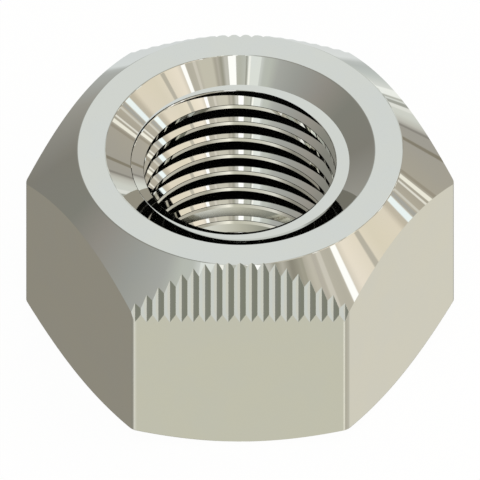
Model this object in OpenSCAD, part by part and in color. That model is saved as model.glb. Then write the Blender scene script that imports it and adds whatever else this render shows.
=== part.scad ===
// Hexagon lock nut, all metal, in one piece.
// A heavy hexagon bar is turned to a cone at the top, bored and countersunk from both
// ends, and then squeezed by serrated jaws on two opposite flats, which leaves a row of
// V grooves down the top of each and makes the last threads grip the bolt.
// The frame has its origin at the middle of the bearing face, with +Z up the bore.
// The serrated flats face -Y and +Y, so a corner of the hexagon lies on each side of X.

/* [Hexagon] */
// Distance across the flats, the size of the spanner
across_flats = 24; // [21:0.1:32]
// Height of the nut from the bearing face to the top face
height = 14.8; // [11:0.1:25]
// Radius along the six upright edges
corner_round = 0.5; // [0.05:0.05:1]

/* [Turned ends] */
// Diameter of the flat ring at the top
top_face_d = 21; // [18.2:0.1:22.6]
// Slope of the cone under the top face, from level
top_cone_angle = 42; // [20:1:50]
// Diameter of the bearing face at the bottom
bearing_face_d = 23.2; // [19:0.1:25]
// Slope of the chamfer round the bearing face, from level
bearing_chamfer_angle = 30; // [10:1:45]

/* [Bore] */
// Diameter of the bore before tapping, the minor diameter of an M14 x 1.5 thread
bore_d = 12.38; // [9:0.01:13.2]
// Diameter of the upper countersink at its mouth
mouth_d = 17.35; // [15:0.05:17.9]
// Diameter of the flat floor in which the upper countersink ends
mouth_floor_d = 14.1; // [13.4:0.05:14.9]
// Depth of that floor below the top face
mouth_depth = 1.1; // [0.3:0.05:2.5]
// Diameter of the lower countersink at the bearing face
entry_d = 15.1; // [13.4:0.1:17.5]
// Slope of the lower countersink, from level
entry_angle = 30; // [20:1:60]

/* [Serrations] */
// Number of V grooves on each serrated flat
groove_count = 19; // [5:2:23]
// Angle between the two walls of a groove
groove_angle = 106; // [80:1:130]
// Lean of the grooves from upright, in towards the bore at the top
groove_lean = 24.5; // [12:0.5:28]
// How far below the top face the grooves run out on the flat
groove_reach = 3.73; // [2:0.01:4.4]
// Distance from the bottom of the last groove to the corner of the hexagon
groove_margin = 0.16; // [0.05:0.01:0.8]

/* [Hidden] */
$fn = 96;

// How far each cut runs on past the metal
overrun = 1;
// Flat steps round each corner of the hexagon
corner_steps = 6;

flat_w = across_flats * tan(30);
corner_r = across_flats / 2 / cos(30);
turned_r = corner_r + overrun;
corner_centre_r = (across_flats / 2 - corner_round) / cos(30);
entry_depth = (entry_d - bore_d) / 2 * tan(entry_angle);

groove_pitch = (flat_w - 2 * groove_margin) / (groove_count - 1);
groove_slope = 1 / tan(groove_angle / 2);
jaw_depth = groove_reach * sin(groove_lean) + overrun;
jaw_overhang = jaw_depth / groove_slope;
jaw_length = 2 * (groove_reach / cos(groove_lean) + overrun);

// Section of the bar: a hexagon whose corners are rounded in short steps
module hexagon_section() {
    polygon([
        for (corner = [0 : 60 : 300])
            for (step = [0 : corner_steps])
                let (turn = corner - 30 + 60 * step / corner_steps)
                    corner_centre_r * [cos(corner), sin(corner)]
                        + corner_round * [cos(turn), sin(turn)]
    ]);
}

// Half section that the lathe leaves, turned about the bore: outside, then inside
module turned_section() {
    polygon([
        [entry_d / 2, 0],
        [bearing_face_d / 2, 0],
        [turned_r, (turned_r - bearing_face_d / 2) * tan(bearing_chamfer_angle)],
        [turned_r, height - (turned_r - top_face_d / 2) * tan(top_cone_angle)],
        [top_face_d / 2, height],
        [mouth_d / 2, height],
        [mouth_floor_d / 2, height - mouth_depth],
        [bore_d / 2, height - mouth_depth],
        [bore_d / 2, entry_depth]
    ]);
}

function groove_x(n) = (n - (groove_count - 1) / 2) * groove_pitch;

// Outline of the squeezing jaw, with its teeth towards +Y and their tips on Y = 0
module jaw_section() {
    last_x = groove_x(groove_count - 1);
    ridge_y = -groove_pitch / 2 * groove_slope;
    teeth = [
        for (n = [0 : 2 * groove_count - 2])
            [groove_x(n / 2), n % 2 == 0 ? 0 : ridge_y]
    ];
    polygon(concat(
        [[-last_x - jaw_overhang, -jaw_depth]],
        teeth,
        [[last_x + jaw_overhang, -jaw_depth]]
    ));
}

// The space a jaw presses out of the flat that faces -Y
module jaw_print() {
    translate([0, -across_flats / 2, height - groove_reach])
        rotate([-groove_lean, 0, 0])
            linear_extrude(height = jaw_length, center = true)
                jaw_section();
}

module lock_nut() {
    color([0.74, 0.74, 0.70])
        difference() {
            intersection() {
                linear_extrude(height = height)
                    hexagon_section();
                rotate_extrude()
                    turned_section();
            }
            for (side = [0, 180])
                rotate(side)
                    jaw_print();
        }
}

lock_nut();
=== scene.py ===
# All-metal hexagon lock nut: the threaded, turned and serrated nut in bright plating, on a
# pale floor in a soft studio. One shared frame with the solid model, in metres.
import math

import bmesh
import bpy
from mathutils import Matrix, Vector


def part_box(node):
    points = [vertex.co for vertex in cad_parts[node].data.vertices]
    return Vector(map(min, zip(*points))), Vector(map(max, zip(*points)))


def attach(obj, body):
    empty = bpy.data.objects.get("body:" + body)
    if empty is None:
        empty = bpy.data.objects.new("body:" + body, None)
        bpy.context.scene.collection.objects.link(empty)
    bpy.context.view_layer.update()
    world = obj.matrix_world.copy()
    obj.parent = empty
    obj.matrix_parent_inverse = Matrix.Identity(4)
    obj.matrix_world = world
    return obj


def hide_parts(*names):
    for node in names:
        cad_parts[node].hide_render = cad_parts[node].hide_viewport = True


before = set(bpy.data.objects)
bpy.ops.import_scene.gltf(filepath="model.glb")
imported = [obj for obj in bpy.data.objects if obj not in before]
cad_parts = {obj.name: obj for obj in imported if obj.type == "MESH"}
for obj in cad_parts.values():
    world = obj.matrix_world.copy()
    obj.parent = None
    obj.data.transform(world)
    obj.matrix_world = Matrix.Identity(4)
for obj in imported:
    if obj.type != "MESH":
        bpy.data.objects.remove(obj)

bl_info = {
    "name": "Lock Nut",
    "version": (1, 0, 0),
    "blender": (4, 5, 0),
    "location": "3D View > Sidebar > Lock Nut",
    "description": "Models a serrated all-metal lock nut with its thread, plating and studio",
    "category": "Object",
}

NODE = "lock_nut"
MM = 0.001
UP = (0, 0, 1)
CENTRE = (0, 0, 0)
LOW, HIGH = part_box(NODE)

WHITE = (1, 1, 1, 1)

# Places of the nut's finishes in its list of materials
TURNED, FLATS, PRESSED, THREAD = range(4)


class LockNutSizes(bpy.types.PropertyGroup):
    """Sizes of the nut."""

    across_flats: bpy.props.FloatProperty(
        name="Across flats", description="Distance across the flats, the size of the spanner",
        default=HIGH.y - LOW.y, min=0.001, unit="LENGTH")
    height: bpy.props.FloatProperty(
        name="Height", description="From the bearing face to the top face",
        default=HIGH.z - LOW.z, min=0.001, unit="LENGTH")
    corner_round: bpy.props.FloatProperty(
        name="Corner round", description="Radius along the six upright edges",
        default=0.5 * MM, min=0, unit="LENGTH")
    edge_break: bpy.props.FloatProperty(
        name="Edge break", description="Length that each turned edge loses to its rounding",
        default=0.05 * MM, min=0, unit="LENGTH")
    top_face_d: bpy.props.FloatProperty(
        name="Top face", description="Diameter of the flat ring at the top",
        default=21 * MM, min=0, unit="LENGTH")
    top_cone_angle: bpy.props.FloatProperty(
        name="Top cone", description="Slope of the cone under the top face, from level",
        default=math.radians(42), subtype="ANGLE")
    bearing_face_d: bpy.props.FloatProperty(
        name="Bearing face", description="Diameter of the bearing face at the bottom",
        default=23.2 * MM, min=0, unit="LENGTH")
    bearing_chamfer_angle: bpy.props.FloatProperty(
        name="Bearing chamfer", description="Slope of the chamfer round the bearing face",
        default=math.radians(30), subtype="ANGLE")
    bore_d: bpy.props.FloatProperty(
        name="Bore", description="Minor diameter of the thread",
        default=12.38 * MM, min=0, unit="LENGTH")
    mouth_d: bpy.props.FloatProperty(
        name="Mouth", description="Diameter of the upper countersink at the top face",
        default=17.35 * MM, min=0, unit="LENGTH")
    mouth_floor_d: bpy.props.FloatProperty(
        name="Mouth floor", description="Diameter of the floor in which that countersink ends",
        default=14.1 * MM, min=0, unit="LENGTH")
    mouth_depth: bpy.props.FloatProperty(
        name="Mouth depth", description="Depth of that floor below the top face",
        default=1.1 * MM, min=0, unit="LENGTH")
    mouth_shine: bpy.props.FloatProperty(
        name="Mouth shine", description="Slope at which the burnished countersink shines",
        default=math.radians(31.9), subtype="ANGLE")
    entry_d: bpy.props.FloatProperty(
        name="Entry", description="Diameter of the lower countersink at the bearing face",
        default=15.1 * MM, min=0, unit="LENGTH")
    entry_angle: bpy.props.FloatProperty(
        name="Entry slope", description="Slope of the lower countersink, from level",
        default=math.radians(30), subtype="ANGLE")
    pitch: bpy.props.FloatProperty(
        name="Thread pitch", description="Rise of the right-hand thread in one turn",
        default=1.5 * MM, min=0.0001, unit="LENGTH")
    major_d: bpy.props.FloatProperty(
        name="Thread major", description="Diameter at the root of the thread",
        default=14.1 * MM, min=0, unit="LENGTH")
    root_flat: bpy.props.FloatProperty(
        name="Root flat", description="Width of the flat in which the thread's groove ends",
        default=0.228 * MM, min=0, unit="LENGTH")
    first_root: bpy.props.FloatProperty(
        name="First root", description="Depth below the top face at which a root passes -X",
        default=1.12 * MM, unit="LENGTH")
    groove_count: bpy.props.IntProperty(
        name="Grooves", description="Number of V grooves on each serrated flat",
        default=19, min=2)
    groove_angle: bpy.props.FloatProperty(
        name="Groove angle", description="Angle between the two walls of a groove",
        default=math.radians(106), subtype="ANGLE")
    groove_lean: bpy.props.FloatProperty(
        name="Groove lean", description="Lean of the grooves in towards the bore at the top",
        default=math.radians(24.5), subtype="ANGLE")
    groove_reach: bpy.props.FloatProperty(
        name="Groove reach", description="Depth below the top face at which the grooves run out",
        default=3.73 * MM, min=0, unit="LENGTH")
    groove_margin: bpy.props.FloatProperty(
        name="Groove margin", description="From the last groove to the corner of the hexagon",
        default=0.16 * MM, min=0, unit="LENGTH")


class LockNutFinish(bpy.types.PropertyGroup):
    """Colours and marks of the plating, with the light and shade painted into the thread."""

    plating: bpy.props.FloatVectorProperty(
        name="Plating", description="Colour of the bright plating",
        default=(0.74, 0.74, 0.70), size=3, min=0, max=1, subtype="COLOR")
    # Painted shade: near-black colour put in the thread's roots, where light is trapped
    root_painted_shade: bpy.props.FloatVectorProperty(
        name="Thread roots", description="Dark colour down in the roots of the thread",
        default=(0.01, 0.01, 0.009), size=3, min=0, max=1, subtype="COLOR")
    shade_start: bpy.props.FloatProperty(
        name="Shade start", description="Share of the thread's depth where its shade starts",
        default=0.02, min=0, max=1, subtype="FACTOR")
    shade_end: bpy.props.FloatProperty(
        name="Shade end", description="Share of the thread's depth where its shade is full",
        default=0.06, min=0, max=1, subtype="FACTOR")
    # Plating on the thread, lighter than the rest: the extra brightness is painted light, which
    # keeps the bore bright where light meets the thread again and again
    thread_plating_painted_light: bpy.props.FloatVectorProperty(
        name="Thread plating", description="Colour of the plating on the freshly cut thread",
        default=(0.80, 0.80, 0.76), size=3, min=0, max=1, subtype="COLOR")
    crest_edge_line: bpy.props.FloatProperty(
        name="Burr line", description="Width of the dark line at the edges of the crests",
        default=0.03 * MM, min=0, unit="LENGTH", precision=5)
    flat_edge: bpy.props.FloatProperty(
        name="Flat edge", description="Radius to which the edges of the flats are softened",
        default=0.1 * MM, min=0, unit="LENGTH", precision=5)
    groove_edge: bpy.props.FloatProperty(
        name="Groove edge", description="Radius to which the edges of the grooves are softened",
        default=0.04 * MM, min=0, unit="LENGTH", precision=5)
    gloss_roughness: bpy.props.FloatProperty(
        name="Roughness", description="Roughness where the plating is brightest",
        default=0.01, min=0, max=1)
    haze_roughness: bpy.props.FloatProperty(
        name="Haze", description="Roughness in the faint clouds of the plating",
        default=0.035, min=0, max=1)
    mark_depth: bpy.props.FloatProperty(
        name="Tool marks", description="Depth of the marks that the lathe leaves",
        default=0.00005 * MM, min=0, unit="LENGTH", precision=6)


class LockNutStudio(bpy.types.PropertyGroup):
    """Floor, light and camera."""

    floor_width: bpy.props.FloatProperty(
        name="Floor", description="Width of the square floor",
        default=4, min=0, unit="LENGTH")
    floor_colour: bpy.props.FloatVectorProperty(
        name="Floor colour", description="Colour of the plain pale floor",
        default=(0.9, 0.9, 0.9), size=3, min=0, max=1, subtype="COLOR")
    floor_glow: bpy.props.FloatProperty(
        name="Floor white", description="Share of plain white in what the camera sees of it",
        default=0.93, min=0, max=1, subtype="FACTOR")
    camera_elevation: bpy.props.FloatProperty(
        name="Camera elevation", description="Height of the camera above the horizon",
        default=math.radians(44.9), subtype="ANGLE")
    camera_aim: bpy.props.FloatProperty(
        name="Camera aim", description="Height of the point that the camera looks at",
        default=6.605 * MM, unit="LENGTH")
    camera_distance: bpy.props.FloatProperty(
        name="Camera distance", description="From that point to the camera",
        default=0.3, min=0, unit="LENGTH")
    frame_width: bpy.props.FloatProperty(
        name="Frame", description="Width that the camera's picture covers",
        default=30.926 * MM, min=0, unit="LENGTH")


# Mesh tools

# Points closer than this are one point
WELD = 0.0001 * MM
QUARTER = math.tau / 4
SIXTH = math.tau / 6


def whole(bm):
    """All the points, edges and faces of a bmesh."""
    return bm.verts[:] + bm.edges[:] + bm.faces[:]


def points_in(parts):
    """The points among the parts of a mesh."""
    return [part for part in parts if isinstance(part, bmesh.types.BMVert)]


def extrude_up(bm, height):
    """Extrudes the faces in bm straight up by a height."""
    raised = bmesh.ops.extrude_face_region(bm, geom=bm.faces[:])["geom"]
    bmesh.ops.translate(bm, verts=points_in(raised), vec=(0, 0, height))


def to_object(bm, name, finish, materials):
    """Puts a bmesh into a new object with one finish on all its faces."""
    bmesh.ops.recalc_face_normals(bm, faces=bm.faces[:])
    for face in bm.faces:
        face.material_index = finish
    mesh = bpy.data.meshes.new(name)
    bm.to_mesh(mesh)
    bm.free()
    for material in materials:
        mesh.materials.append(material)
    made = bpy.data.objects.new(name, mesh)
    bpy.context.scene.collection.objects.link(made)
    return made


def settle(piece):
    """Applies a piece's modifiers to its mesh."""
    graph = bpy.context.evaluated_depsgraph_get()
    mesh = bpy.data.meshes.new_from_object(piece.evaluated_get(graph))
    old = piece.data
    piece.modifiers.clear()
    piece.data = mesh
    bpy.data.meshes.remove(old)


def carve(piece, tool, operation):
    """Intersects a piece with a tool or cuts it away, and then drops the tool."""
    change = piece.modifiers.new(tool.name, "BOOLEAN")
    change.object = tool
    change.operation = operation
    change.solver = "EXACT"
    settle(piece)
    mesh = tool.data
    bpy.data.objects.remove(tool)
    bpy.data.meshes.remove(mesh)
    if not piece.data.polygons:
        raise RuntimeError(f"nothing of {piece.name} is left after {operation}")


def closed_wire(bm, points):
    """Draws a closed outline and returns its corners."""
    corners = [bm.verts.new(point) for point in points]
    for here, there in zip(corners, corners[1:] + corners[:1]):
        bm.edges.new((here, there))
    return corners


def wind(bm, steps, quarters, rise=0):
    """Spins the wire in bm through quarter turns about the bore, with a rise in each."""
    bmesh.ops.spin(
        bm, geom=whole(bm), cent=CENTRE, axis=UP, dvec=(0, 0, rise / steps),
        angle=QUARTER, steps=steps)
    bmesh.ops.spin(
        bm, geom=whole(bm), cent=CENTRE, axis=UP, dvec=(0, 0, rise),
        angle=QUARTER * (quarters - 1), steps=quarters - 1, use_duplicate=True)
    bmesh.ops.remove_doubles(bm, verts=bm.verts[:], dist=WELD)


# The nut

# Flat steps in a quarter turn of the turned faces and of the thread
TURN_STEPS = 180
THREAD_STEPS = 60
# Flat steps round a turned edge, round an upright edge and in a root of the thread
EDGE_STEPS = 3
CORNER_STEPS = 8
ROOT_STEPS = 3
# Length that each edge of the thread's root loses to its rounding
ROOT_ROUND = 0.07 * MM
# Slope of the thread's flanks, half of the angle between them
FLANK_ANGLE = math.radians(30)
# How far the thread's groove is drawn into the open bore
GROOVE_OVERLAP = 0.15 * MM
# Faces whose slopes differ by less are one surface
SAME_SLOPE = math.radians(0.5)
# How far each cut runs on past the metal
OVERRUN = 1 * MM


def flat_width(sizes):
    """Width of a flat. A sharp corner of the hexagon lies as far from the axis."""
    return sizes.across_flats / math.sqrt(3)


def turned_blank(sizes, materials):
    """Spins the half section that the lathe leaves, outside and inside."""
    height = sizes.height
    bore = sizes.bore_d / 2
    entry = sizes.entry_d / 2
    bearing = sizes.bearing_face_d / 2
    top = sizes.top_face_d / 2
    outer = flat_width(sizes) + OVERRUN
    ledge = height - sizes.mouth_depth
    foot = (sizes.mouth_floor_d / 2, ledge)
    section = [
        (entry, 0),
        (bearing, 0),
        (outer, (outer - bearing) * math.tan(sizes.bearing_chamfer_angle)),
        (outer, height - (outer - top) * math.tan(sizes.top_cone_angle)),
        (top, height),
        (sizes.mouth_d / 2, height),
        foot,
        (bore, ledge),
        (bore, (entry - bore) * math.tan(sizes.entry_angle)),
    ]
    bm = bmesh.new()
    corners = closed_wire(bm, [(r, 0, z) for r, z in section])
    # All edges are rounded but the sharp one at the foot of the countersink
    corners.pop(section.index(foot))
    bmesh.ops.bevel(
        bm, geom=corners, offset=sizes.edge_break, segments=EDGE_STEPS, profile=0.5,
        affect="VERTICES", material=-1)
    wind(bm, TURN_STEPS, 4)
    return to_object(bm, "nut", TURNED, materials)


def hexagon_bar(sizes, materials):
    """Extrudes the hexagon bar that the blank is cut from, with rounded upright edges."""
    bm = bmesh.new()
    bmesh.ops.create_circle(
        bm, cap_ends=True, segments=6, radius=flat_width(sizes),
        matrix=Matrix.Translation((0, 0, -OVERRUN)) @ Matrix.Rotation(SIXTH / 2, 4, "Z"))
    extrude_up(bm, sizes.height + 2 * OVERRUN)
    upright = [e for e in bm.edges if abs(e.verts[0].co.z - e.verts[1].co.z) > OVERRUN]
    bmesh.ops.bevel(
        bm, geom=upright, offset=sizes.corner_round * math.tan(SIXTH / 2), offset_type="OFFSET",
        segments=CORNER_STEPS, profile=0.5, affect="EDGES", material=-1)
    return to_object(bm, "bar", FLATS, materials)


def serrated_jaws(sizes, materials):
    """Makes the two toothed jaws that press the grooves into opposite flats."""
    gaps = sizes.groove_count - 1
    pitch = (flat_width(sizes) - 2 * sizes.groove_margin) / gaps
    half = pitch / 2
    ridge = half / math.tan(sizes.groove_angle / 2)
    back = sizes.groove_reach * math.sin(sizes.groove_lean) + OVERRUN
    length = 2 * (sizes.groove_reach / math.cos(sizes.groove_lean) + OVERRUN)
    bm = bmesh.new()
    tooth = [(-half, -back), (half, -back), (half, -ridge), (0, 0), (-half, -ridge)]
    first_x = -half * gaps
    bm.faces.new([bm.verts.new((first_x + x, y, -length / 2)) for x, y in tooth])
    bmesh.ops.spin(
        bm, geom=whole(bm), cent=CENTRE, axis=UP, dvec=(pitch, 0, 0), angle=0, steps=gaps,
        use_duplicate=True)
    bmesh.ops.remove_doubles(bm, verts=bm.verts[:], dist=WELD)
    bmesh.ops.dissolve_faces(bm, faces=bm.faces[:], use_verts=False)
    extrude_up(bm, length)
    place = Matrix.Translation((0, -sizes.across_flats / 2, sizes.height - sizes.groove_reach))
    bmesh.ops.transform(
        bm, verts=bm.verts[:], matrix=place @ Matrix.Rotation(-sizes.groove_lean, 4, "X"))
    other = bmesh.ops.duplicate(bm, geom=whole(bm))["geom"]
    bmesh.ops.rotate(
        bm, verts=points_in(other), cent=CENTRE, matrix=Matrix.Rotation(math.pi, 3, "Z"))
    return to_object(bm, "jaws", PRESSED, materials)


def thread_groove(sizes, materials):
    """Winds the section of the thread's groove up the bore as a right-hand helix."""
    pitch = sizes.pitch
    root = sizes.major_d / 2
    inner = sizes.bore_d / 2 - GROOVE_OVERLAP
    root_half = sizes.root_flat / 2
    inner_half = root_half + (root - inner) * math.tan(FLANK_ANGLE)
    below = math.ceil(sizes.height / pitch) * pitch
    start = sizes.height - sizes.first_root - below
    turns = math.ceil((sizes.height + pitch - start) / pitch)
    bm = bmesh.new()
    section = [(inner, -inner_half), (root, -root_half), (root, root_half), (inner, inner_half)]
    corners = closed_wire(bm, [(-r, 0, start + z) for r, z in section])
    bmesh.ops.bevel(
        bm, geom=corners[1:3], offset=ROOT_ROUND, segments=ROOT_STEPS, profile=0.5,
        affect="VERTICES", material=-1)
    wind(bm, THREAD_STEPS, 4 * turns, pitch / 4)
    ends = [edge for edge in bm.edges if edge.is_boundary]
    bmesh.ops.holes_fill(bm, edges=ends, sides=0)
    return to_object(bm, "groove", THREAD, materials)


def turned_normal(normal, azimuth, face_azimuth, steps):
    """Turns the normal of one flat step of a spun face to a corner at another azimuth."""
    step = QUARTER / steps
    middle = (math.floor(face_azimuth / step) + 0.5) * step
    return Matrix.Rotation(azimuth - middle, 3, "Z") @ normal


def corner_way(point, sizes):
    """Level way to a point from the axis of the nearest upright rounding, and its turn from
    the corner."""
    azimuth = round(math.atan2(point.y, point.x) / SIXTH) * SIXTH
    reach = (sizes.across_flats / 2 - sizes.corner_round) / math.cos(SIXTH / 2)
    way = Vector((point.x - reach * math.cos(azimuth), point.y - reach * math.sin(azimuth), 0))
    turn = math.atan2(way.y, way.x) - azimuth
    return way.normalized(), abs((turn + math.pi) % math.tau - math.pi)


def burnished_normal(normal, slope):
    """Turns a normal of the countersink to the slope at which its burnished face shines."""
    level = Vector((normal.x, normal.y, 0)).normalized()
    return level * math.sin(slope) + Vector(UP) * math.cos(slope)


def true_shading(nut, sizes):
    """Gives every corner the normal of the round or flat surface that it stands for."""
    mesh = nut.data
    mouth = math.atan2(sizes.mouth_depth, (sizes.mouth_d - sizes.mouth_floor_d) / 2)
    spun = {TURNED: TURN_STEPS, THREAD: THREAD_STEPS}
    normals = [None] * len(mesh.loops)
    for face in mesh.polygons:
        finish = face.material_index
        normal = face.normal.copy()
        if finish == TURNED and abs(normal.angle(UP) - mouth) < SAME_SLOPE:
            normal = burnished_normal(normal, sizes.mouth_shine)
        azimuth = math.atan2(face.center.y, face.center.x)
        rounded = finish == FLATS and corner_way(face.center, sizes)[1] < SIXTH / 2
        for loop in face.loop_indices:
            point = mesh.vertices[mesh.loops[loop].vertex_index].co
            if finish in spun:
                here = math.atan2(point.y, point.x)
                normals[loop] = turned_normal(normal, here, azimuth, spun[finish])
            elif rounded:
                normals[loop] = corner_way(point, sizes)[0]
            else:
                normals[loop] = normal
    mesh.normals_split_custom_set(normals)


def finish_faces(nut, sizes):
    """Welds the seams that the cuts leave and shades the faces as they truly run."""
    bm = bmesh.new()
    bm.from_mesh(nut.data)
    bmesh.ops.remove_doubles(bm, verts=bm.verts[:], dist=WELD)
    bmesh.ops.dissolve_degenerate(bm, edges=bm.edges[:], dist=WELD)
    bmesh.ops.recalc_face_normals(bm, faces=bm.faces[:])
    # A closed mesh whose faces face inwards has a negative volume
    if bm.calc_volume(signed=True) < 0:
        bmesh.ops.reverse_faces(bm, faces=bm.faces[:])
    for face in bm.faces:
        face.smooth = True
    bm.to_mesh(nut.data)
    bm.free()
    true_shading(nut, sizes)


# Nodes

def add(tree, kind, inputs=None, **settings):
    """Adds a node. Each input is a plain value, or the socket that feeds it."""
    made = tree.nodes.new(kind)
    for name, value in settings.items():
        setattr(made, name, value)
    for key, value in (inputs or {}).items():
        if isinstance(value, bpy.types.NodeSocket):
            tree.links.new(value, made.inputs[key])
        else:
            made.inputs[key].default_value = value
    return made


def maths(tree, operation, *values):
    """Adds a Math node and returns its result."""
    return add(tree, "ShaderNodeMath", dict(enumerate(values)), operation=operation).outputs[0]


def mix(tree, factor, first, second):
    """Mixes two colours and returns the result."""
    made = add(
        tree, "ShaderNodeMix", {"Factor": factor, "A": first, "B": second}, data_type="RGBA")
    return made.outputs["Result"]


def new_group(name, inputs, outputs):
    """Starts a node group. Returns it with its input node and its output node."""
    group = bpy.data.node_groups.new(name, "ShaderNodeTree")
    for label, kind in inputs:
        group.interface.new_socket(label, in_out="INPUT", socket_type=kind)
    for label, kind in outputs:
        group.interface.new_socket(label, in_out="OUTPUT", socket_type=kind)
    return group, group.nodes.new("NodeGroupInput"), group.nodes.new("NodeGroupOutput")


def place_group(tree, name, inputs):
    """Places a node group in a tree."""
    return add(tree, "ShaderNodeGroup", inputs, node_tree=bpy.data.node_groups[name])


def height_and_radius(tree):
    """Height of a place on the object, and its distance from the axis of the bore."""
    spot = add(tree, "ShaderNodeTexCoord").outputs["Object"]
    part = add(tree, "ShaderNodeSeparateXYZ", {"Vector": spot}).outputs
    level = add(tree, "ShaderNodeCombineXYZ", {"X": part["X"], "Y": part["Y"]}).outputs[0]
    radius = add(tree, "ShaderNodeVectorMath", {0: level}, operation="LENGTH").outputs["Value"]
    return part["Z"], radius


# Studio

# Wall of light round the nut: direction in degrees from +Y towards +X, and colour
WALL = [
    (-180, (0.60, 0.61, 0.54)),
    (-150, (0.76, 0.79, 0.77)),
    (-146, (0.63, 0.66, 0.62)),
    (-139, (0.62, 0.65, 0.60)),
    (-129, (0.50, 0.51, 0.49)),
    (-112, (0.43, 0.44, 0.42)),
    (-88, (0.37, 0.35, 0.32)),
    (-70, (0.28, 0.28, 0.25)),
    (-46, (0.28, 0.27, 0.24)),
    (-24, (0.39, 0.38, 0.35)),
    (-11.5, (0.49, 0.51, 0.49)),
    (-10, (0.81, 0.85, 0.85)),
    (7.2, (0.88, 0.91, 0.90)),
    (8.8, (0.56, 0.59, 0.57)),
    (13, (0.63, 0.67, 0.65)),
    (18, (0.85, 0.87, 0.84)),
    (28, (0.79, 0.81, 0.76)),
    (31, (0.66, 0.65, 0.60)),
    (32.5, (0.46, 0.44, 0.40)),
    (60, (0.53, 0.49, 0.41)),
    (74.5, (0.71, 0.64, 0.52)),
    (77.5, (0.96, 0.87, 0.72)),
    (90, (0.93, 0.85, 0.69)),
    (108, (1.08, 0.98, 0.84)),
    (117, (0.60, 0.57, 0.49)),
    (131, (0.69, 0.65, 0.56)),
    (139, (0.42, 0.40, 0.33)),
    (143, (0.34, 0.32, 0.26)),
    (149, (0.60, 0.57, 0.50)),
    (154, (0.40, 0.39, 0.32)),
    (159, (0.70, 0.69, 0.64)),
    (180, (0.60, 0.61, 0.54)),
]

# Light panels and dark flags in front of the wall: direction of the middle, width and
# softness of the sides, all in degrees, and colour
PANELS = [
    (-170.5, 2, 0.8, (0.43, 0.43, 0.38)),
    (-159.5, 17, 1, (0.94, 0.98, 0.95)),
    (-166.3, 3, 1, (1.19, 1.19, 1.14)),
    (168.8, 11, 1, (1.35, 1.35, 1.35)),
    (136, 2, 0.8, (0.47, 0.45, 0.37)),
    (127.5, 2.5, 1, (0.62, 0.58, 0.51)),
    (124, 3, 1, (0.79, 0.75, 0.67)),
    (113.7, 3.6, 0.8, (1.35, 1.35, 1.35)),
    (97, 3, 1, (0.63, 0.59, 0.50)),
    (70.5, 3.2, 0.8, (1.12, 1.22, 1.24)),
    (67.3, 2, 0.6, (0.51, 0.50, 0.46)),
    (65, 1.2, 0.5, (0.80, 0.77, 0.69)),
    (60, 1, 0.5, (1.01, 0.98, 0.90)),
    (57.3, 2, 0.5, (1.12, 1.09, 0.98)),
    (54.7, 1.5, 0.6, (0.42, 0.38, 0.31)),
    (39, 1.5, 0.6, (0.31, 0.28, 0.22)),
    (33, 1, 0.5, (0.34, 0.32, 0.29)),
    (24.5, 2, 0.6, (0.93, 0.94, 0.90)),
    (23, 1.5, 0.6, (0.45, 0.46, 0.42)),
    (21, 1, 0.4, (0.58, 0.59, 0.54)),
    (19, 3, 0.8, (1.04, 1.06, 1.02)),
]

# Light from a low belt in front of the nut, about level with it: direction and colour
BELT = [
    (-180, (0.71, 0.70, 0.62)),
    (-150, (0.36, 0.37, 0.33)),
    (-112, (0.27, 0.28, 0.23)),
    (-60, (0.30, 0.29, 0.25)),
    (60, (0.70, 0.68, 0.60)),
    (112, (0.78, 0.81, 0.78)),
    (150, (1.05, 1.05, 1.00)),
    (180, (0.71, 0.70, 0.62)),
]

# Light off the floor, lower than the belt: direction and colour
FLOOR_LIGHT = [
    (-180, (0.71, 0.70, 0.59)),
    (-155, (0.80, 0.79, 0.70)),
    (-138, (0.91, 0.90, 0.83)),
    (-126, (0.54, 0.52, 0.46)),
    (-112, (0.32, 0.31, 0.27)),
    (-60, (0.34, 0.32, 0.27)),
    (-25, (0.22, 0.21, 0.19)),
    (25, (0.25, 0.24, 0.20)),
    (60, (0.81, 0.78, 0.68)),
    (72, (0.69, 0.67, 0.59)),
    (92, (0.60, 0.58, 0.50)),
    (125, (0.60, 0.57, 0.49)),
    (140, (0.50, 0.48, 0.40)),
    (154, (0.84, 0.82, 0.73)),
    (167, (1.18, 1.15, 1.03)),
    (173, (0.72, 0.71, 0.60)),
    (180, (0.71, 0.70, 0.59)),
]

# Heights in the light are the upward part of a direction, from -1 below to 1 overhead.
# Soft panel high up, given as the other panels are, and the heights in which it fades in
HIGH_PANEL = (136, 18, 6, (0.72, 0.69, 0.59))
HIGH_PANEL_FOOT = (0.82, 0.89)
# Heights in which the wall dims towards the floor, and how much of its light is left there
DIM_HEIGHTS = (-0.35, -0.6)
DIM_SHARE = 0.85
# Heights in which the light off the floor gives way to the belt
BELT_FOOT = (-0.45, -0.3)
# The wall ends at one height in front of the nut and lower down behind it: how far back the
# change lies, from -1 to 1, the two heights, and the height in which the wall's foot fades
FOOT_TURN = (0.2, 0.6)
FOOT_HEIGHTS = (0.12, -0.62)
FOOT_SOFTNESS = 0.06
# Light from overhead, and the heights in which it takes over
OVERHEAD = (0.75, 0.76, 0.74)
OVERHEAD_FOOT = (0.985, 0.999)
# Strength of the floor's white, a little over 1 because the matt share is darker
FLOOR_STRENGTH = 1.03
# Nearest place that the camera shows, as a share of its distance
CAMERA_NEAR = 0.1


def ring_light(tree, turn, stops):
    """Adds a ramp of light round the nut. turn runs from 0 to 1 as stops run from -180 to 180."""
    ramp = add(tree, "ShaderNodeValToRGB", {"Fac": turn})
    elements = ramp.color_ramp.elements
    elements.remove(elements[-1])
    for number, (direction, colour) in enumerate(stops):
        place = direction / 360 + 0.5
        stop = elements[0] if number == 0 else elements.new(place)
        stop.position = place
        stop.color = (*colour, 1)
    return ramp.outputs["Color"]


def ease(tree, value, low, high, start=0.0, end=1.0):
    """Eases softly from start to end as a value runs from low to high."""
    made = add(
        tree, "ShaderNodeMapRange",
        {"Value": value, "From Min": low, "From Max": high, "To Min": start, "To Max": end},
        interpolation_type="SMOOTHSTEP")
    return made.outputs["Result"]


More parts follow.
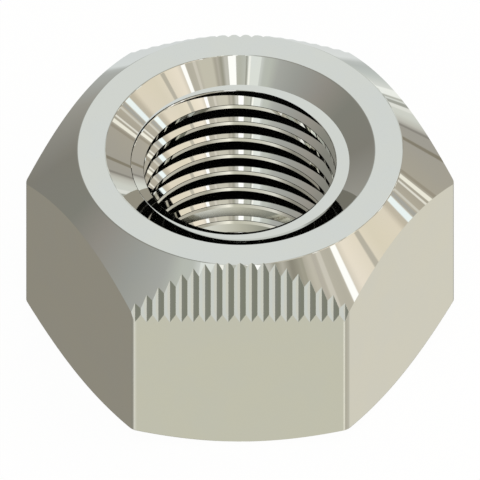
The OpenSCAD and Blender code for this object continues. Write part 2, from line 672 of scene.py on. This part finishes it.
def panel_group():
    """Group: how far a direction lies inside an upright panel, from 0 to 1."""
    group, given, result = new_group(
        "Upright panel",
        [("Azimuth", "NodeSocketFloat"), ("Middle", "NodeSocketFloat"),
         ("Half width", "NodeSocketFloat"), ("Softness", "NodeSocketFloat")],
        [("Inside", "NodeSocketFloat")])
    off = maths(group, "SUBTRACT", given.outputs["Azimuth"], given.outputs["Middle"])
    wrapped = maths(group, "WRAP", off, math.pi, -math.pi)
    away = maths(group, "ABSOLUTE", wrapped)
    half = given.outputs["Half width"]
    soft = given.outputs["Softness"]
    inside = ease(
        group, away, maths(group, "ADD", half, soft), maths(group, "SUBTRACT", half, soft))
    group.links.new(inside, result.inputs["Inside"])
    return group


def inside_panel(tree, azimuth, middle, width, softness):
    """How far an azimuth lies inside a panel, from 0 to 1."""
    return place_group(tree, "Upright panel", {
        "Azimuth": azimuth, "Middle": math.radians(middle),
        "Half width": math.radians(width / 2),
        "Softness": math.radians(softness / 2)}).outputs["Inside"]


def wall_light(tree, height, azimuth, turn):
    """Adds the light of the wall, with its panels and flags."""
    light = ring_light(tree, turn, WALL)
    for *place, colour in PANELS:
        light = mix(tree, inside_panel(tree, azimuth, *place), light, (*colour, 1))
    *place, colour = HIGH_PANEL
    share = maths(
        tree, "MULTIPLY", inside_panel(tree, azimuth, *place),
        ease(tree, height, *HIGH_PANEL_FOOT))
    light = mix(tree, share, light, (*colour, 1))
    dimmed = ease(tree, height, *DIM_HEIGHTS, 1.0, DIM_SHARE)
    return add(
        tree, "ShaderNodeVectorMath", {0: light, "Scale": dimmed}, operation="SCALE").outputs[0]


def light_studio():
    """Lights the studio: a wall of light with panels and flags, seen as plain white."""
    world = bpy.data.worlds.new("Studio light")
    world.use_nodes = True
    tree = world.node_tree
    tree.nodes.clear()
    panel_group()
    look = add(tree, "ShaderNodeTexCoord").outputs["Generated"]
    way = add(tree, "ShaderNodeSeparateXYZ", {"Vector": look}).outputs
    azimuth = maths(tree, "ARCTAN2", way["X"], way["Y"])
    turn = maths(tree, "MULTIPLY_ADD", azimuth, 1 / math.tau, 0.5)
    wall = wall_light(tree, way["Z"], azimuth, turn)
    belt_share = ease(tree, way["Z"], *BELT_FOOT)
    below = mix(
        tree, belt_share, ring_light(tree, turn, FLOOR_LIGHT), ring_light(tree, turn, BELT))
    wall_foot = ease(tree, way["Y"], *FOOT_TURN, *FOOT_HEIGHTS)
    under = ease(tree, maths(tree, "SUBTRACT", wall_foot, way["Z"]), 0.0, FOOT_SOFTNESS)
    light = mix(tree, under, wall, below)
    overhead = ease(tree, way["Z"], *OVERHEAD_FOOT)
    light = mix(tree, overhead, light, (*OVERHEAD, 1))
    seen = add(tree, "ShaderNodeLightPath").outputs["Is Camera Ray"]
    light = mix(tree, seen, light, WHITE)
    shine = add(tree, "ShaderNodeBackground", {"Color": light, "Strength": 1.0})
    out = tree.nodes.new("ShaderNodeOutputWorld")
    tree.links.new(shine.outputs[0], out.inputs["Surface"])
    bpy.context.scene.world = world


def floor_material(studio):
    """Plain pale floor, seen as white where nothing shades it."""
    material = bpy.data.materials.new("pale_floor")
    material.use_nodes = True
    tree = material.node_tree
    tree.nodes.clear()
    seen = add(tree, "ShaderNodeLightPath").outputs["Is Camera Ray"]
    matt = add(tree, "ShaderNodeBsdfDiffuse", {"Color": (*studio.floor_colour, 1)})
    glow = add(tree, "ShaderNodeEmission", {"Color": WHITE, "Strength": FLOOR_STRENGTH})
    share = maths(tree, "MULTIPLY", seen, studio.floor_glow)
    both = add(
        tree, "ShaderNodeMixShader", {0: share, 1: matt.outputs[0], 2: glow.outputs[0]})
    out = tree.nodes.new("ShaderNodeOutputMaterial")
    tree.links.new(both.outputs[0], out.inputs["Surface"])
    return material


# Finishes, with light and shade painted into the thread

# Scale of the lathe's rings per metre, and the share of the height that counts as radius
RINGS = 9000.0
RING_SLANT = 0.6
# Scale of the rolled bar's peel, and the share of that scale along the height
PEEL_SCALE = 2500.0
PEEL_DRAW = 0.25
# Scale of the plating's clouds, the range of noise in which they form, their own colour and
# how far they tint the plating with it
CLOUD_SCALE = 350.0
CLOUD_RANGE = (0.35, 0.7)
CLOUD_COLOUR = (0.72, 0.73, 0.72)
CLOUD_SHARE = 0.5
# Rays that feel for an edge which is softened
EDGE_SAMPLES = 4
# Turns of the thread above the bearing face in which the painted shade of its roots sets in
SHADE_TURNS = (2, 2.6)
# Upward parts of a normal between which its face comes to hang over the root
HANGING = (0.5, 0.1)
# Shares of the dark crest line's width in which it fades
CREST_LINE_FADE = (1.2, 0.8)


def ring_marks_group():
    """Group: fine rings that a lathe leaves round the Z axis, as a height."""
    group, given, result = new_group(
        "Turning marks", [("Rings", "NodeSocketFloat")], [("Height", "NodeSocketFloat")])
    height, radius = height_and_radius(group)
    slant = maths(group, "MULTIPLY_ADD", height, RING_SLANT, radius)
    rings = add(
        group, "ShaderNodeTexNoise",
        {"W": maths(group, "MULTIPLY", slant, given.outputs["Rings"]), "Scale": 1.0,
         "Detail": 3.0, "Roughness": 0.6},
        noise_dimensions="1D")
    group.links.new(rings.outputs[0], result.inputs["Height"])
    return group


def plating_group():
    """Group: the faint clouds of bright plating, as a mask and as a colour."""
    group, given, result = new_group(
        "Plating clouds",
        [("Colour", "NodeSocketColor"), ("Scale", "NodeSocketFloat")],
        [("Colour", "NodeSocketColor"), ("Haze", "NodeSocketFloat")])
    spot = add(group, "ShaderNodeTexCoord").outputs["Object"]
    clouds = add(
        group, "ShaderNodeTexNoise",
        {"Vector": spot, "Scale": given.outputs["Scale"], "Detail": 4.0, "Roughness": 0.55})
    haze = ease(group, clouds.outputs[0], *CLOUD_RANGE)
    share = maths(group, "MULTIPLY", haze, CLOUD_SHARE)
    tint = mix(group, share, given.outputs["Colour"], (*CLOUD_COLOUR, 1))
    group.links.new(tint, result.inputs["Colour"])
    group.links.new(haze, result.inputs["Haze"])
    return group


def plated_steel(name, colour, roughness, marks, finish, edge_radius=0.0):
    """Bright plating over steel. marks(tree) gives the height of its tool marks."""
    material = bpy.data.materials.new(name)
    material.use_nodes = True
    tree = material.node_tree
    tree.nodes.clear()
    clouds = place_group(
        tree, "Plating clouds", {"Colour": (*colour, 1), "Scale": CLOUD_SCALE})
    rough = ease(tree, clouds.outputs["Haze"], 0.0, 1.0, *roughness)
    relief = add(
        tree, "ShaderNodeBump",
        {"Strength": 1.0, "Distance": finish.mark_depth, "Height": marks(tree)})
    if edge_radius:
        edge = add(tree, "ShaderNodeBevel", {"Radius": edge_radius}, samples=EDGE_SAMPLES)
        tree.links.new(edge.outputs["Normal"], relief.inputs["Normal"])
    metal = add(
        tree, "ShaderNodeBsdfPrincipled",
        {"Base Color": clouds.outputs["Colour"], "Metallic": 1.0, "Roughness": rough,
         "Normal": relief.outputs["Normal"]})
    out = tree.nodes.new("ShaderNodeOutputMaterial")
    tree.links.new(metal.outputs[0], out.inputs["Surface"])
    return material


def shade_roots(material, sizes, finish):
    """Paints shade on the flanks that hang over the thread's roots, where light is trapped, and
    draws a dark line on the flanks at the edges of its crests."""
    tree = material.node_tree
    metal = next(node for node in tree.nodes if node.type == "BSDF_PRINCIPLED")
    height, radius = height_and_radius(tree)
    bore = sizes.bore_d / 2
    depth = sizes.major_d / 2 - bore
    deep = ease(
        tree, radius, bore + depth * finish.shade_start, bore + depth * finish.shade_end)
    high = ease(tree, height, *(turn * sizes.pitch for turn in SHADE_TURNS))
    facing = add(tree, "ShaderNodeTexCoord").outputs["Normal"]
    tilt = add(tree, "ShaderNodeSeparateXYZ", {"Vector": facing}).outputs["Z"]
    hanging = ease(tree, tilt, *HANGING)
    # Painted shade: deep in the groove, above the lowest turns, on faces that hang over the root
    shade = maths(tree, "MULTIPLY", maths(tree, "MULTIPLY", deep, high), hanging)
    # A dark matt line on the flanks just past the edges of the crests
    crest_line = ease(tree, radius, *(bore + finish.crest_edge_line * share for share in CREST_LINE_FADE))
    shade = maths(tree, "MAXIMUM", shade, crest_line)
    tint = metal.inputs["Base Color"].links[0].from_socket
    tree.links.new(mix(tree, shade, tint, (*finish.root_painted_shade, 1)), metal.inputs["Base Color"])
    # The painted shade is matt and without gloss, so the shaded roots reflect nothing
    tree.links.new(maths(tree, "SUBTRACT", 1.0, shade), metal.inputs["Metallic"])
    metal.inputs["Specular IOR Level"].default_value = 0.0


def turned_height(tree):
    """Rings round the axis."""
    return place_group(tree, "Turning marks", {"Rings": RINGS}).outputs["Height"]


def rolled_height(tree):
    """Shallow peel of rolled bar, drawn out along the nut's height."""
    spot = add(tree, "ShaderNodeTexCoord").outputs["Object"]
    drawn = add(tree, "ShaderNodeMapping", {"Vector": spot, "Scale": (1.0, 1.0, PEEL_DRAW)})
    peel = add(
        tree, "ShaderNodeTexNoise",
        {"Vector": drawn.outputs[0], "Scale": PEEL_SCALE, "Detail": 2.0})
    return peel.outputs[0]


def nut_materials(sizes, finish):
    """The nut's finishes, in the order of their places. The thread's carries painted light and
    painted shade.
    """
    ring_marks_group()
    plating_group()
    gloss = (finish.gloss_roughness, finish.haze_roughness)
    # The thread's plating is lightened with painted light, and shade_roots paints shade into its
    # roots
    thread = plated_steel("thread_plating_painted_light", finish.thread_plating_painted_light, gloss, turned_height, finish)
    shade_roots(thread, sizes, finish)
    return [
        plated_steel("turned_plating", finish.plating, gloss, turned_height, finish),
        plated_steel(
            "flat_plating", finish.plating, gloss, rolled_height, finish, finish.flat_edge),
        plated_steel(
            "pressed_plating", finish.plating, gloss, rolled_height, finish, finish.groove_edge),
        thread,
    ]


# Operators

class LOCKNUT_OT_nut(bpy.types.Operator):
    """Models the nut: the bar, turned, threaded, serrated and plated"""

    bl_idname = "lock_nut.make_nut"
    bl_label = "Nut"

    def execute(self, context):
        sizes = context.scene.lock_nut_sizes
        materials = nut_materials(sizes, context.scene.lock_nut_finish)
        nut = turned_blank(sizes, materials)
        carve(nut, hexagon_bar(sizes, materials), "INTERSECT")
        carve(nut, serrated_jaws(sizes, materials), "DIFFERENCE")
        carve(nut, thread_groove(sizes, materials), "DIFFERENCE")
        finish_faces(nut, sizes)
        nut.name = nut.data.name = "serrated_lock_nut"
        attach(nut, "root")
        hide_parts(NODE)
        return {"FINISHED"}


class LOCKNUT_OT_studio(bpy.types.Operator):
    """Sets up the pale floor, the soft light and the camera"""

    bl_idname = "lock_nut.make_studio"
    bl_label = "Studio"

    def execute(self, context):
        scene = context.scene
        studio = scene.lock_nut_studio
        bm = bmesh.new()
        bmesh.ops.create_grid(bm, x_segments=1, y_segments=1, size=studio.floor_width / 2)
        floor = to_object(bm, "floor", 0, [floor_material(studio)])
        # The light off the floor takes its place in reflections
        floor.visible_glossy = False
        light_studio()
        data = bpy.data.cameras.new("camera")
        data.type = "ORTHO"
        data.ortho_scale = studio.frame_width
        data.clip_start = studio.camera_distance * CAMERA_NEAR
        camera = bpy.data.objects.new("camera", data)
        tilt = studio.camera_elevation
        back = Vector((0, -math.cos(tilt), math.sin(tilt)))
        camera.location = Vector((0, 0, studio.camera_aim)) + back * studio.camera_distance
        camera.rotation_euler = (math.pi / 2 - tilt, 0, 0)
        scene.collection.objects.link(camera)
        scene.camera = camera
        scene.view_settings.view_transform = "Standard"
        return {"FINISHED"}


class LOCKNUT_PT_panel(bpy.types.Panel):
    """Lock nut tools in the sidebar of the 3D view"""

    bl_label = "Lock Nut"
    bl_idname = "LOCKNUT_PT_panel"
    bl_space_type = "VIEW_3D"
    bl_region_type = "UI"
    bl_category = "Lock Nut"

    def draw(self, context):
        for group in (
            context.scene.lock_nut_sizes,
            context.scene.lock_nut_finish,
            context.scene.lock_nut_studio,
        ):
            box = self.layout.box()
            for name in group.__annotations__:
                box.prop(group, name)
        for operator in OPERATORS:
            self.layout.operator(operator.bl_idname)


GROUPS = {
    "lock_nut_sizes": LockNutSizes,
    "lock_nut_finish": LockNutFinish,
    "lock_nut_studio": LockNutStudio,
}
OPERATORS = (LOCKNUT_OT_nut, LOCKNUT_OT_studio)
CLASSES = (*GROUPS.values(), *OPERATORS, LOCKNUT_PT_panel)


def register():
    """Registers the classes and hangs the settings on the scene."""
    for cls in CLASSES:
        bpy.utils.register_class(cls)
    for name, group in GROUPS.items():
        setattr(bpy.types.Scene, name, bpy.props.PointerProperty(type=group))


def unregister():
    """Takes the settings and the classes away again."""
    for name in GROUPS:
        delattr(bpy.types.Scene, name)
    for cls in reversed(CLASSES):
        bpy.utils.unregister_class(cls)


def main():
    """Makes every piece and the studio."""
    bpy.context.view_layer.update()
    register()
    bpy.ops.lock_nut.make_nut()
    bpy.ops.lock_nut.make_studio()


if __name__ == "__main__":
    main()
